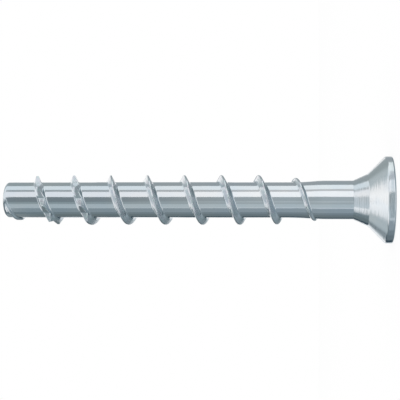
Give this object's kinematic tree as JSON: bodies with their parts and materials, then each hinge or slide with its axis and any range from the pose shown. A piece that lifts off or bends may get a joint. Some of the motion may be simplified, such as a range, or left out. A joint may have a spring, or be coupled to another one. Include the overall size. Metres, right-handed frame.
{
  "type": "concrete screw",
  "caption": "Countersunk concrete screw with a coarse self-cutting thread, saw-toothed turns at the blunt tip, a smooth tapered shank and a six-lobe socket in its flat head.",
  "frame": {"origin": "centre of the flat head face, on which the screw stands", "axes": "+Z along the screw's axis from the head face to the tip, +X and +Y across it"},
  "size_m": [0.0178, 0.0178, 0.08],
  "materials": {
    "zinc_plate": "bright blue-white zinc plating on hardened steel, smooth along the core, fine turned marks on the head's cones"
  },
  "bodies": {
    "root": {"screw": "zinc_plate"}
  },
  "joints": []
}
